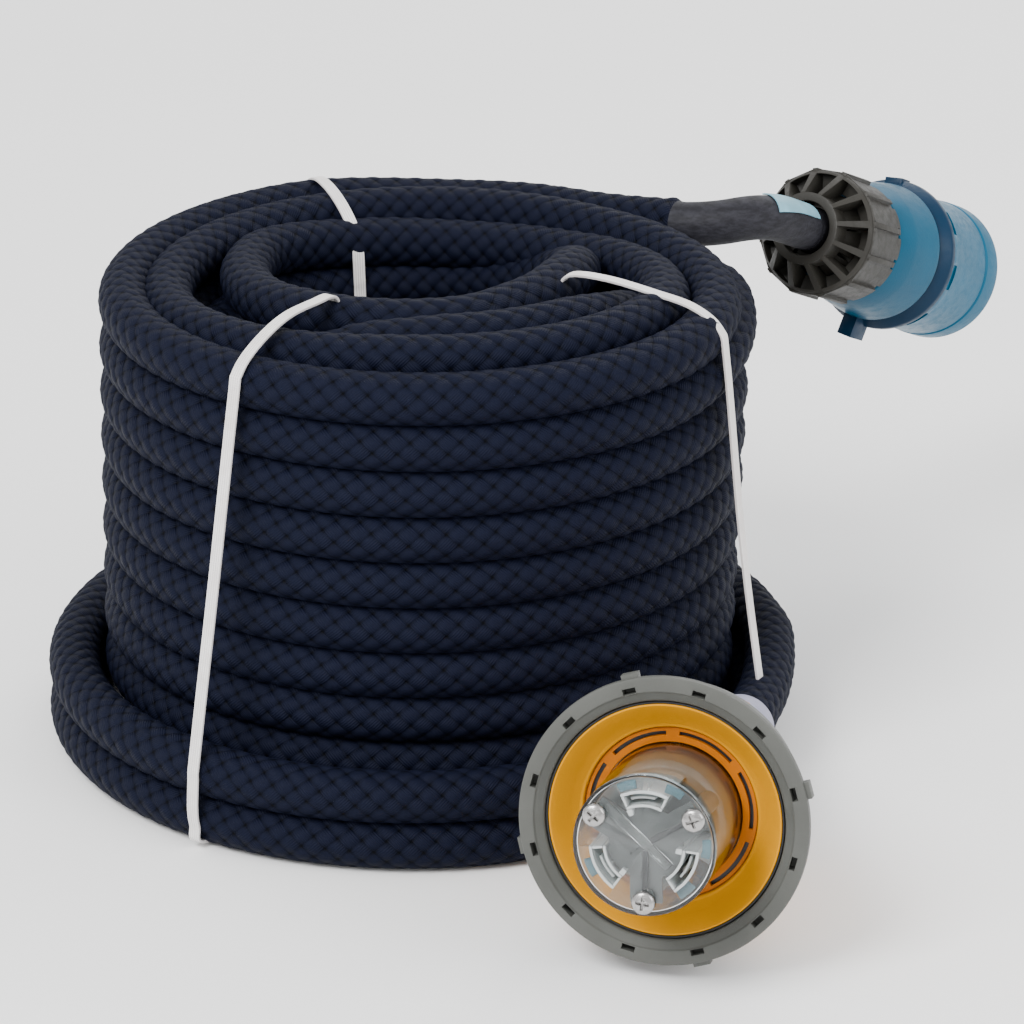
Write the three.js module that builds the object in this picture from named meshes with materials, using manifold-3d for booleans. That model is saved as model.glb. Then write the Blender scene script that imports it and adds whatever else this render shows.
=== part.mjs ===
// Marine shore-power cord set: a locking connector, a pin-and-sleeve plug, and the braided cord
// between them, folded in half, wound into a tied coil and standing on the ground.
// Millimetres, +Z up. The origin is on the flat underside of the coil, under its front middle.

import * as THREE from 'three';
import { mergeVertices } from 'three/addons/utils/BufferGeometryUtils.js';
import Module from 'manifold-3d';

const wasm = await Module();
wasm.setup();

// ---- driving dimensions ----------------------------------------------------------------------

const GAP = 0.3;                 // clear space kept between pieces that touch
const TURN = 2 * Math.PI;
const SEGMENTS = 36;             // facets round a turned piece

const CORD_R = 7.5;              // braided cord
const CABLE_R = 7.0;             // bare rubber cable
const TURN_PITCH = 14.4;         // one turn of the coil to the next one up
const OUTER_TURN_R = 91.5;       // centreline of the outermost layer
const LAYERS = 3;
const LEVELS = 10;
const BASE_TURN_R = 106.5;       // centreline of the two loose turns at the foot
const COIL_OUT_R = OUTER_TURN_R + CORD_R;
const COIL_IN_R = OUTER_TURN_R - (2 * LAYERS - 1) * CORD_R;
const COIL_H = (LEVELS - 1) * TURN_PITCH + 2 * CORD_R;
const SEAT_R = OUTER_TURN_R - 2 * CORD_R;   // the origin is this far in front of the coil's axis

const CONNECTOR_AT = [69.1, -185.2, 46];     // middle of the locking ring's front face
const CONNECTOR_AXIS = [-0.222, -0.958, 0.179];
const RING_R = 41.6;
const RING_OPENING_R = 34.4;
const RING_DEPTH = 24;
const RING_BACK_R = 35.8;
const INSERT_R = 20.2;
const INSERT_FRONT = 26.7;       // how far the contact face stands in front of the ring
const INSERT_BACK = -15;
const BLADE_R = 13.2;            // radius that the curved blade slots lie on
const FACE_SCREW_R = 16.1;
const HOUSING_SPLIT = -45;       // housing ends, rear cover starts
const COVER_END = -88;
const BOOT_END = -115;

const PLUG_AT = [167.3, 152.6, 90.2];       // middle of the plug's open end
const PLUG_AXIS = [-0.495, -0.762, 0.418];  // from the open end towards the cable
const SHROUD_R = 22;
const SHROUD_DEPTH = 30;
const FLANGE_AT = 37;
const FLANGE_T = 6;
const FLANGE_R = 24.5;
const NUT_AT = 67;               // front edge of the gland nut
const NUT_R = 19.9;
const NUT_CONE = 88;             // the nut's cone starts here
const PLUG_END = 97;
const NUT_RIBS = 12;
const PIN_CIRCLE_R = 8.7;
const PIN_R = 2.5;

// ---- small tools -----------------------------------------------------------------------------

const assembly = new THREE.Group();
assembly.position.y = SEAT_R;

function framed(at, axis) {
  // A group whose +Z is the given axis, with its +X as near as it can be to the row's +X.
  const z = new THREE.Vector3(...axis).normalize();
  const x = new THREE.Vector3(1, 0, 0).addScaledVector(z, -z.x).normalize();
  const y = z.clone().cross(x);
  const group = new THREE.Group();
  group.quaternion.setFromRotationMatrix(new THREE.Matrix4().makeBasis(x, y, z));
  group.position.set(...at);
  assembly.add(group);
  return group;
}

function add(group, name, geometry, colour, roughness = 0.6, metalness = 0) {
  const material = new THREE.MeshStandardMaterial({ color: colour, roughness, metalness });
  const mesh = new THREE.Mesh(geometry, material);
  mesh.name = name;
  group.add(mesh);
  return mesh;
}

function turned(profile, segments = SEGMENTS) {
  // Revolves [radius, z] points, given in order of rising z on the outside, about +Z.
  const points = profile.map(([radius, z]) => new THREE.Vector2(radius, z));
  const closed = profile[0][0] > 0 || profile.at(-1)[0] > 0;
  if (closed) points.push(points[0].clone());
  return new THREE.LatheGeometry(points, segments).rotateX(Math.PI / 2);
}

function ring(innerR, outerR, z0, z1, segments = SEGMENTS) {
  return turned([[innerR, z0], [outerR, z0], [outerR, z1], [innerR, z1]], segments);
}

function rod(radius, z0, z1, segments = 16) {
  return turned([[0, z0], [radius, z0], [radius, z1], [0, z1]], segments);
}

function block(size, centre) {
  return new THREE.BoxGeometry(...size).translate(...centre);
}

function solid(geometry) {
  const bare = geometry.clone();
  for (const extra of ['normal', 'uv']) bare.deleteAttribute(extra);
  const merged = mergeVertices(bare, 1e-4);
  return new wasm.Manifold(new wasm.Mesh({
    numProp: 3,
    vertProperties: new Float32Array(merged.attributes.position.array),
    triVerts: new Uint32Array(merged.index.array),
  }));
}

function shaped(base, joined, cut) {
  // The base geometry with some pieces joined to it and others cut away.
  let body = solid(base);
  for (const piece of joined) body = body.add(solid(piece));
  for (const piece of cut) body = body.subtract(solid(piece));
  const mesh = body.getMesh();
  const geometry = new THREE.BufferGeometry();
  geometry.setAttribute('position', new THREE.BufferAttribute(mesh.vertProperties, 3));
  geometry.setIndex(new THREE.BufferAttribute(mesh.triVerts, 1));
  return geometry;
}

function around(count, first, make) {
  return Array.from({ length: count }, (_, i) => make(first + (i * TURN) / count));
}

function sector(innerR, outerR, middle, halfAngle, z0, z1, steps = 6) {
  // A curved bar: part of a ring seen along Z, from z0 to z1.
  const shape = new THREE.Shape();
  const angles = Array.from({ length: steps + 1 }, (_, i) => middle + halfAngle * ((2 * i) / steps - 1));
  angles.forEach((a, i) => shape[i ? 'lineTo' : 'moveTo'](outerR * Math.cos(a), outerR * Math.sin(a)));
  angles.reverse().forEach((a) => shape.lineTo(innerR * Math.cos(a), innerR * Math.sin(a)));
  shape.closePath();
  return new THREE.ExtrudeGeometry(shape, { depth: z1 - z0, bevelEnabled: false }).translate(0, 0, z0);
}

function tube(points, radius, steps, sides = 10) {
  const section = new THREE.Shape(Array.from({ length: sides }, (_, i) => {
    const a = (i * TURN) / sides;
    return new THREE.Vector2(radius * Math.cos(a), radius * Math.sin(a));
  }));
  const path = new THREE.CatmullRomCurve3(points.map((p) => new THREE.Vector3(...p)));
  return new THREE.ExtrudeGeometry(section, { steps, extrudePath: path, bevelEnabled: false });
}

const rad = THREE.MathUtils.degToRad;
const polar = (radius, angle, z) => [radius * Math.cos(angle), radius * Math.sin(angle), z];

// ---- colours ---------------------------------------------------------------------------------

const NAVY = 0x1a2036;
const CHARCOAL = 0x3c3c44;
const WHITE = 0xe9e6e2;
const YELLOW = 0xf0a800;
const GREY = 0x7d7d76;
const DARK_GREY = 0x4a4843;
const BLUE = 0x1b8fbe;
const PALE_BLUE = 0xa9d3e3;
const BLACK = 0x151515;
const CLEAR = 0xcfd6d6;
const BRASS = 0xc9a24a;
const STEEL = 0xb8b8b8;
const LAVENDER = 0xa6a6b2;
const CORE_COLOURS = { line: 0x6b4226, neutral: 0x2a5db0, earth: 0x7fae2e };
const POLES = Object.keys(CORE_COLOURS);

// ---- the coiled cord -------------------------------------------------------------------------

// The stack of turns with the lower loose turn as a step round its foot.
add(assembly, 'cord_coil', turned([
  [COIL_IN_R, 0],
  [BASE_TURN_R + CORD_R, 0],
  [BASE_TURN_R + CORD_R, TURN_PITCH],
  [COIL_OUT_R, TURN_PITCH],
  [COIL_OUT_R, COIL_H],
  [COIL_IN_R, COIL_H],
], 48), NAVY, 0.9);

// The upper loose turn: open at the front right, where the cord leaves it for the connector.
const BASE_OPEN_FROM = rad(4);
const BASE_OPEN_TO = rad(-70);
const baseSpan = (BASE_OPEN_TO + TURN - BASE_OPEN_FROM) / 2;
add(assembly, 'cord_base_turn', sector(
  COIL_OUT_R + GAP, BASE_TURN_R + CORD_R, BASE_OPEN_FROM + baseSpan, baseSpan,
  TURN_PITCH + GAP, TURN_PITCH + GAP + 2 * CORD_R, 44,
), NAVY, 0.9);

// Uncoiled cord, from the loose turn's open end to the back of the connector's boot.
const TAIL_TO_CONNECTOR = [
  [106.4, 6.7, 22.8],
  [106.6, -6, 22.6],
  [105.9, -20, 22.5],
  [104.0, -36, 22.6],
  [101.3, -50, 23.2],
  [98.2, -62, 24.3],
  [94.9, -73.9, 25.7],
];
add(assembly, 'cord_tail_connector', tube(TAIL_TO_CONNECTOR, CORD_R, 8), NAVY, 0.9);

// Bare cable, from the cut end of the braided sleeve to the gland nut.
const CABLE_TO_PLUG = [
  [92.0, 57.0, 140.0],
  [99.0, 57.6, 141.0],
  [105.0, 60.2, 140.6],
  [110.4, 65.2, 138.3],
  [114.9, 71.8, 134.6],
  [117.4, 75.6, 132.5],
  [119.1, 78.3, 130.9],
];
add(assembly, 'bare_cable', tube(CABLE_TO_PLUG, CABLE_R, 8), CHARCOAL, 0.7);

// ---- the ties round the coil -----------------------------------------------------------------

const TIE_W = 4;
const TIE_T = 1;

function tie(name, angle, outerFootR, outerFootZ, innerFootZ) {
  // A band over the top of the coil: down its outside to the loose turns, and into the hole.
  const inR = COIL_IN_R - GAP;
  const outR = COIL_OUT_R + GAP;
  const top = COIL_H + GAP;
  const outline = [
    [inR, innerFootZ],
    [inR, top],
    [outR, top],
    [outerFootR, outerFootZ],
    [outerFootR + TIE_T, outerFootZ],
    [outR + TIE_T, top + TIE_T],
    [inR - TIE_T, top + TIE_T],
    [inR - TIE_T, innerFootZ],
  ].map((p) => new THREE.Vector2(...p));
  const band = new THREE.ExtrudeGeometry(new THREE.Shape(outline), { depth: TIE_W, bevelEnabled: false });
  band.translate(0, 0, -TIE_W / 2).rotateX(Math.PI / 2).rotateZ(angle);
  add(assembly, name, band, WHITE, 0.8);
}

tie('tie_left', rad(-125), BASE_TURN_R + CORD_R + 2, 20, 60);
tie('tie_right', rad(-24), COIL_OUT_R + 1, 36, 60);
tie('tie_back', rad(112), COIL_OUT_R + 1, 36, 60);

// ---- the connector ---------------------------------------------------------------------------

const connector = framed(CONNECTOR_AT, CONNECTOR_AXIS);

function lockingRing() {
  const LIP_R = 31.2;
  const body = turned([
    [LIP_R, -RING_DEPTH],
    [RING_BACK_R, -RING_DEPTH],
    [RING_BACK_R + 2.4, -12],
    [RING_R - 1.6, -6],
    [RING_R, -3],
    [RING_R, -0.8],
    [RING_R - 0.8, 0],
    [RING_OPENING_R + 2.6, 0],
    [RING_OPENING_R, -2],
    [RING_OPENING_R, -RING_DEPTH + 4],
    [LIP_R, -RING_DEPTH + 4],
  ], 48);
  const lugs = [15, 104, 193, 285].map((degrees) => (
    block([3.6, 5.2, 3.8], [RING_R - 0.4, 0, -3.3]).rotateZ(rad(degrees))
  ));
  const slots = around(12, rad(15), (a) => block([1.8, 3.8, 3], [RING_OPENING_R + 3.2, 0, 0]).rotateZ(a));
  return shaped(body, lugs, slots);
}

add(connector, 'locking_ring', lockingRing(), GREY);
add(connector, 'ring_gasket', ring(33.2, 34.1, -9, -2.4), BLACK, 0.8);

// Front of the housing: a shallow bowl round the insert, a neck for the ring's lip, and a bore.
const BOWL_FLOOR = -13;
add(connector, 'connector_housing', turned([
  [22.3, HOUSING_SPLIT],
  [28.2, HOUSING_SPLIT],
  [30.6, HOUSING_SPLIT + 14],
  [30.6, -RING_DEPTH + 4 + GAP],
  [32.9, -RING_DEPTH + 4 + GAP],
  [32.9, -3],
  [31.5, -4.5],
  [28.5, -9],
  [25.2, BOWL_FLOOR],
  [24.6, BOWL_FLOOR + 1],
  [22.6, BOWL_FLOOR + 1],
  [22.3, BOWL_FLOOR - 1],
]), YELLOW, 0.45);

add(connector, 'rear_cover', turned([
  [8.2, COVER_END],
  [14.6, COVER_END],
  [17.6, COVER_END + 9],
  [23.4, HOUSING_SPLIT - 12],
  [28.2, HOUSING_SPLIT - GAP],
  [22.3, HOUSING_SPLIT - GAP],
  [17, COVER_END + 16],
  [14, COVER_END + 5],
  [8.2, COVER_END + 5],
]), YELLOW, 0.45);

const BLADE_ANGLES = [rad(90), rad(210), rad(330)];
const SCREW_ANGLES = [rad(30), rad(150), rad(270)];

function socketFace() {
  const cup = turned([
    [0, INSERT_FRONT - 3],
    [INSERT_R - 1.8, INSERT_FRONT - 3],
    [INSERT_R - 1.8, INSERT_BACK],
    [INSERT_R + 1.8, INSERT_BACK],
    [INSERT_R + 1.8, INSERT_BACK + 2],
    [INSERT_R, INSERT_BACK + 2],
    [INSERT_R, INSERT_FRONT - 0.8],
    [INSERT_R - 0.8, INSERT_FRONT],
    [0, INSERT_FRONT],
  ]);
  const slots = BLADE_ANGLES.map((a) => (
    sector(BLADE_R - 1.4, BLADE_R + 1.4, a, rad(25), INSERT_FRONT - 5, INSERT_FRONT + 1)
  ));
  const holes = SCREW_ANGLES.map((a) => (
    rod(1.9, INSERT_FRONT - 5, INSERT_FRONT + 1).translate(...polar(FACE_SCREW_R, a, 0))
  ));
  return shaped(cup, [], [...slots, ...holes]);
}

function contactCarrier() {
  const body = rod(INSERT_R - 1.8 - GAP, INSERT_BACK, INSERT_FRONT - 3 - GAP, SEGMENTS);
  const chambers = BLADE_ANGLES.map((a) => (
    sector(BLADE_R - 1.5, BLADE_R + 1.5, a, rad(25), INSERT_BACK - 1, INSERT_FRONT)
  ));
  const pilots = SCREW_ANGLES.map((a) => (
    rod(1.8, INSERT_FRONT - 14, INSERT_FRONT).translate(...polar(FACE_SCREW_R, a, 0))
  ));
  return shaped(body, [], [...chambers, ...pilots]);
}

add(connector, 'socket_face', socketFace(), CLEAR, 0.15);
add(connector, 'contact_carrier', contactCarrier(), 0xbfc4c4, 0.35);

function panScrew(headR, headH, shankR, shankL) {
  // Pan head above z = 0 with a cross recess, shank below.
  const body = turned([[0, -shankL], [shankR, -shankL], [shankR, 0], [headR, 0],
    [headR, headH * 0.5], [headR * 0.7, headH], [0, headH]], 20);
  const arms = [0, Math.PI / 2].map((a) => block([headR * 1.1, headH * 0.3, headH], [0, 0, headH]).rotateZ(a));
  return shaped(body, [], arms);
}

SCREW_ANGLES.forEach((a, i) => {
  const screw = add(connector, `face_screw_${i + 1}`, panScrew(3.3, 2, 1.5, 9), STEEL, 0.3, 1);
  screw.position.set(...polar(FACE_SCREW_R, a, INSERT_FRONT + GAP));
});

const CONTACT_TAIL = INSERT_BACK - 9;
const CONNECTOR_JACKET_END = -62;

POLES.forEach((pole, i) => {
  const a = BLADE_ANGLES[i];
  add(connector, `socket_contact_${pole}`, sector(
    BLADE_R - 1.1, BLADE_R + 1.1, a, rad(21), CONTACT_TAIL, INSERT_FRONT - 4,
  ), BRASS, 0.35, 1);
  const screw = add(connector, `socket_screw_${pole}`, rod(1.7, 0, 4, 12), STEEL, 0.35, 1);
  screw.rotation.set(0, Math.PI / 2, 0);
  const holder = new THREE.Group();
  holder.rotation.z = a;
  holder.position.z = INSERT_BACK - 5;
  connector.add(holder);
  holder.add(screw);
  screw.position.x = BLADE_R + 1.1 + GAP;
  add(connector, `connector_core_${pole}`, tube([
    polar(3.2, a, CONNECTOR_JACKET_END + GAP),
    polar(3.6, a, CONNECTOR_JACKET_END + 8),
    polar(9, a, CONTACT_TAIL - 14),
    polar(BLADE_R - 1, a, CONTACT_TAIL - 4),
    polar(BLADE_R, a, CONTACT_TAIL - GAP),
  ], 1.9, 8, 8), CORE_COLOURS[pole], 0.6);
});

// Two half clamps that hold the cable in the rear cover, with a screw through each pair of ears.
const CLAMP_AT = -76;
const CLAMP_L = 8;
const EAR_X = 12.3;

function clampHalf() {
  const shape = new THREE.Shape();
  shape.moveTo(EAR_X + 2.6, 0.4);
  shape.lineTo(EAR_X + 2.6, 4);
  shape.lineTo(10.5, 5);
  shape.absarc(0, 0, 11, rad(26), rad(154), false);
  shape.lineTo(-10.5, 5);
  shape.lineTo(-EAR_X - 2.6, 4);
  shape.lineTo(-EAR_X - 2.6, 0.4);
  shape.lineTo(-CABLE_R - GAP, 0.4);
  shape.absarc(0, 0, CABLE_R + GAP, rad(177), rad(3), true);
  shape.closePath();
  const half = new THREE.ExtrudeGeometry(shape, { depth: CLAMP_L, bevelEnabled: false, curveSegments: 10 });
  const holes = [-EAR_X, EAR_X].map((x) => rod(1.9, -1, 8).rotateX(-Math.PI / 2).translate(x, 0, CLAMP_L / 2));
  return shaped(half, [], holes);
}

for (const [name, turn] of [['cord_clamp_upper', 0], ['cord_clamp_lower', Math.PI]]) {
  const half = add(connector, name, clampHalf(), GREY, 0.6);
  half.rotation.z = turn;
  half.position.z = CLAMP_AT;
}
for (const [name, x] of [['clamp_screw_left', -EAR_X], ['clamp_screw_right', EAR_X]]) {
  const screw = add(connector, name, panScrew(2.8, 1.8, 1.5, 9), STEEL, 0.35, 1);
  screw.rotation.x = -Math.PI / 2;
  screw.position.set(x, 5.5, CLAMP_AT + CLAMP_L / 2);
}

// Inside end of the cable, and the tapered boot that it comes out of.
add(connector, 'connector_cable_end', rod(CABLE_R, BOOT_END + 1, CONNECTOR_JACKET_END, 20), CHARCOAL, 0.7);
add(connector, 'strain_relief_boot', turned([
  [CABLE_R + GAP, BOOT_END],
  [8.9, BOOT_END],
  [9.6, BOOT_END + 0.8],
  [13, COVER_END - 6],
  [14.6, COVER_END - 2],
  [14.6, COVER_END - GAP],
  [CABLE_R + GAP, COVER_END - GAP],
], 36), LAVENDER, 0.7);

// ---- the plug --------------------------------------------------------------------------------

const plug = framed(PLUG_AT, PLUG_AXIS);
const SPIGOT_R = 17;
const SPIGOT_END = FLANGE_AT + FLANGE_T + 10;
const CARRIER_R = 15.4;

function plugShell() {
  // Shroud round the pins, stepped flange, and the spigot that the rear shell screws onto.
  const body = turned([
    [SHROUD_R - 2.6, 0],
    [SHROUD_R, 0],
    [SHROUD_R + 0.4, 1.5],
    [SHROUD_R + 0.4, 9],
    [SHROUD_R, 9.4],
    [SHROUD_R, FLANGE_AT - 4],
    [FLANGE_R - 0.8, FLANGE_AT - 4],
    [FLANGE_R - 0.8, FLANGE_AT],
    [FLANGE_R, FLANGE_AT + 0.4],
    [FLANGE_R, FLANGE_AT + FLANGE_T - 2],
    [FLANGE_R - 2, FLANGE_AT + FLANGE_T],
    [SPIGOT_R, FLANGE_AT + FLANGE_T],
    [SPIGOT_R, SPIGOT_END],
    [CARRIER_R + GAP, SPIGOT_END],
    [CARRIER_R + GAP, SHROUD_DEPTH],
    [SHROUD_R - 2.6, SHROUD_DEPTH],
  ]);
  const latchLug = block([6, 5, 9], [FLANGE_R + 1.2, 0, FLANGE_AT + 4.5]).rotateZ(rad(-114));
  const keyLug = block([3, 8, 9], [FLANGE_R - 0.4, 0, FLANGE_AT + 0.5]).rotateZ(rad(80));
  const windows = around(8, rad(22.5), (a) => (
    block([1.4, 9, 3.2], [FLANGE_R - 0.9, 0, FLANGE_AT - 2.4]).rotateZ(a)
  ));
  return shaped(body, [latchLug, keyLug], windows);
}

const REAR_AT = FLANGE_AT + FLANGE_T + 1.3;
const NECK_R = 15.4;
add(plug, 'plug_shell', plugShell(), BLUE, 0.4);
add(plug, 'shell_gasket', ring(SPIGOT_R + GAP, 21.8, FLANGE_AT + FLANGE_T + GAP, REAR_AT - GAP), BLACK, 0.8);
add(plug, 'plug_rear_shell', turned([
  [SPIGOT_R + GAP, REAR_AT],
  [22.3, REAR_AT],
  [20.6, REAR_AT + 14],
  [18.8, NUT_AT - GAP],
  [NECK_R, NUT_AT - GAP],
  [NECK_R, 80],
  [10.5, 80],
  [10.5, 68.6],
  [8.4, 68.6],
  [8.4, 66.2],
  [SPIGOT_R + GAP, 60],
]), BLUE, 0.4);

add(plug, 'pin_carrier', shaped(
  rod(CARRIER_R, SHROUD_DEPTH, 46, 36), [],
  around(3, rad(-90), (a) => rod(PIN_R + GAP, SHROUD_DEPTH - 1, 47).translate(...polar(PIN_CIRCLE_R, a, 0))),
), 0x2a3440, 0.5);

const PLUG_JACKET_END = 68.9;
POLES.forEach((pole, i) => {
  const a = rad(30 + 120 * i);
  const [x, y] = polar(PIN_CIRCLE_R, a, 0);
  add(plug, `plug_pin_${pole}`, turned([
    [0, 3], [1.5, 3], [PIN_R, 4.5], [PIN_R, 51], [0, 51],
  ], 16).translate(x, y, 0), BRASS, 0.3, 1);
  const screw = add(plug, `plug_screw_${pole}`, rod(1.6, 0, 2.6, 12), STEEL, 0.35, 1);
  screw.rotation.set(0, Math.PI / 2, 0);
  const holder = new THREE.Group();
  holder.rotation.z = a;
  holder.position.z = 48.6;
  plug.add(holder);
  holder.add(screw);
  screw.position.x = PIN_CIRCLE_R + PIN_R + GAP;
  add(plug, `plug_core_${pole}`, tube([
    [x, y, 51 + 2 * GAP],
    polar(PIN_CIRCLE_R - 0.6, a, 54),
    polar(5, a, 61),
    polar(3, a, PLUG_JACKET_END - 3),
    polar(3, a, PLUG_JACKET_END - GAP),
  ], 1.9, 8, 8), CORE_COLOURS[pole], 0.6);
});

// The gland: a rubber seal in the neck, a slotted claw that grips the cable, and the nut over both.
add(plug, 'gland_seal', ring(CABLE_R + GAP, 10.5 - GAP, 68.9, 79.6, 32), BLACK, 0.8);
add(plug, 'plug_cable_end', rod(CABLE_R, PLUG_JACKET_END, PLUG_END, 20), CHARCOAL, 0.7);

const CLAW_AT = 80.4;
add(plug, 'gland_claw', shaped(
  turned([
    [CABLE_R + 0.5, CLAW_AT],
    [13.4, CLAW_AT],
    [13.4, CLAW_AT + 3],
    [9.6, 91.4],
    [CABLE_R + 0.5, 91.4],
  ], 36), [],
  around(8, 0, (a) => block([12, 1.4, 9], [11, 0, CLAW_AT + 7.6]).rotateZ(a)),
), DARK_GREY, 0.6);

function glandNut() {
  // Ribbed cylinder and cone, with a deep pocket between each two ribs of the cone.
  const body = turned([
    [NECK_R + 0.6, NUT_AT],
    [NUT_R, NUT_AT],
    [NUT_R, NUT_CONE],
    [12.2, PLUG_END],
    [8.6, PLUG_END],
    [8.6, 93.5],
    [10.4, 92.4],
    [14.4, 83.8],
    [NECK_R + 0.6, 83],
  ], 48);
  const ribs = around(NUT_RIBS, rad(2), (a) => block([2, 1.6, NUT_CONE - NUT_AT], [
    NUT_R - 0.3, 0, (NUT_CONE + NUT_AT) / 2,
  ]).rotateZ(a));
  const pockets = around(NUT_RIBS, rad(17), (a) => (
    sector(13.6, 18.2, 0, rad(10), 87, 99, 2).rotateZ(a)
  ));
  const notches = around(NUT_RIBS, rad(17), (a) => block([3, 5.5, 2], [NUT_R + 0.4, 0, NUT_AT + 0.5]).rotateZ(a));
  return shaped(body, ribs, [...pockets, ...notches]);
}

add(plug, 'gland_nut', glandNut(), DARK_GREY, 0.6);

// A blank marker sleeve on the bare cable.
function markerSleeve() {
  const section = new THREE.Shape();
  section.absarc(0, 0, CABLE_R + 0.9, 0, TURN, false);
  const hole = new THREE.Path();
  hole.absarc(0, 0, CABLE_R + GAP, 0, TURN, true);
  section.holes.push(hole);
  const whole = new THREE.CatmullRomCurve3(CABLE_TO_PLUG.map((p) => new THREE.Vector3(...p)));
  const part = new THREE.CatmullRomCurve3([0.38, 0.5, 0.62, 0.74, 0.86].map((t) => whole.getPointAt(t)));
  return new THREE.ExtrudeGeometry(section, {
    steps: 5, curveSegments: 6, extrudePath: part, bevelEnabled: false,
  });
}
add(assembly, 'cable_marker', markerSleeve(), PALE_BLUE, 0.5);

const part = new THREE.Group();
part.add(assembly);
export default part;
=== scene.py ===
"""Marine shore-power cord set: looks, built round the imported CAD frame. Metres, +Z up.

Routes and profiles are written in millimetres, as in the CAD, and changed to metres in one place.
"""

import math

import bmesh
import bpy
import numpy as np
from mathutils import Matrix, Vector


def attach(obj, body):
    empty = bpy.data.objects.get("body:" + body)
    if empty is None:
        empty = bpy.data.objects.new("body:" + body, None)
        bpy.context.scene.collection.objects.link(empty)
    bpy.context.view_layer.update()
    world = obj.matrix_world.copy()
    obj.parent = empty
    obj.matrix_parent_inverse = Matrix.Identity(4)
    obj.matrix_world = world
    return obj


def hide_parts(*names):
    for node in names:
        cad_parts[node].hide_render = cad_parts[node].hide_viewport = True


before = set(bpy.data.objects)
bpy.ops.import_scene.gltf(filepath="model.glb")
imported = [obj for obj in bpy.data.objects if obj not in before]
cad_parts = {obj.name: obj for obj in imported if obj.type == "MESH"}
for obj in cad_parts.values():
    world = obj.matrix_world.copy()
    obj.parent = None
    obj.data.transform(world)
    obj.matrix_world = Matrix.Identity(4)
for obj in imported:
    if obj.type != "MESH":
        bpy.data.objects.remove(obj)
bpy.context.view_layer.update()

MM = 0.001
SEAT_R = 76.5                  # the coil's axis is this far behind the origin

CORD_R = 7.5
CABLE_R = 7.0
TURN_PITCH = 14.4
OUTER_R, SECOND_R, THIRD_R = 91.5, 76.5, 61.5
LOWEST_Z = 7.5
YARN_NARROW = 3.6              # more makes each of the braid's yarns narrower

CONNECTOR_AT = (69.1, -185.2, 46.0)
CONNECTOR_AXIS = (-0.222, -0.958, 0.179)
PLUG_AT = (167.3, 152.6, 90.2)
PLUG_AXIS = (-0.495, -0.762, 0.418)


def new_object(name, data):
    """An object that holds the mesh, light or camera, put in the scene."""
    made = bpy.data.objects.new(name, data)
    bpy.context.scene.collection.objects.link(made)
    return made


# ---- camera and light ----

LENS, SENSOR = 206.04, 36.0                # millimetres
CAMERA_AT = (0.0268, -1.5996, 0.7368)
CAMERA_TILT = 68.17                        # degrees up from straight down


def make_camera():
    data = bpy.data.cameras.new("camera")
    data.lens = LENS
    data.sensor_width = SENSOR
    data.clip_end = 20.0
    camera = new_object("camera", data)
    camera.location = CAMERA_AT
    camera.rotation_euler = (math.radians(CAMERA_TILT), 0.0, 0.0)
    bpy.context.scene.camera = camera


LIT_POINT = (0.0, 0.05, 0.06)      # what the lights are aimed at
SKY_STRENGTH = 1.35


def area_light(name, location, size, power):
    """A square soft light."""
    data = bpy.data.lights.new(name, "AREA")
    data.shape = "SQUARE"
    data.size = size
    data.energy = power
    light = new_object(name, data)
    light.location = location
    aim = Vector(LIT_POINT) - Vector(location)
    light.rotation_euler = aim.to_track_quat("-Z", "Y").to_euler()


def make_light():
    world = bpy.data.worlds.new("studio")
    world.use_nodes = True
    background = world.node_tree.nodes["Background"]
    background.inputs["Color"].default_value = (1.0, 1.0, 1.0, 1.0)
    background.inputs["Strength"].default_value = SKY_STRENGTH
    bpy.context.scene.world = world
    area_light("key", (-0.7, -0.9, 1.3), 0.7, 34)
    area_light("fill", (1.1, -0.7, 0.8), 0.8, 9)
    area_light("rim", (0.5, 1.2, 1.1), 0.8, 10)


# ---- shader fields ----

class Field:
    """A number that varies over a surface, held as a shader socket. Arithmetic adds Math nodes."""

    def __init__(self, tree, socket):
        self.tree, self.socket = tree, socket

    def math(self, operation, *others):
        node = self.tree.nodes.new("ShaderNodeMath")
        node.operation = operation
        for i, value in enumerate((self, *others)):
            if isinstance(value, Field):
                self.tree.links.new(value.socket, node.inputs[i])
            else:
                node.inputs[i].default_value = value
        return Field(self.tree, node.outputs[0])

    def __add__(self, other):
        return self.math("ADD", other)

    def __sub__(self, other):
        return self.math("SUBTRACT", other)

    def __mul__(self, other):
        return self.math("MULTIPLY", other)

    def cos(self):
        return self.math("COSINE")

    def sin(self):
        return self.math("SINE")

    def between(self, low, high):
        """0 below low, 1 above high, smooth between."""
        node = self.tree.nodes.new("ShaderNodeMapRange")
        node.interpolation_type = "SMOOTHSTEP"
        node.inputs["From Min"].default_value = low
        node.inputs["From Max"].default_value = high
        self.tree.links.new(self.socket, node.inputs["Value"])
        return Field(self.tree, node.outputs["Result"])


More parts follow.
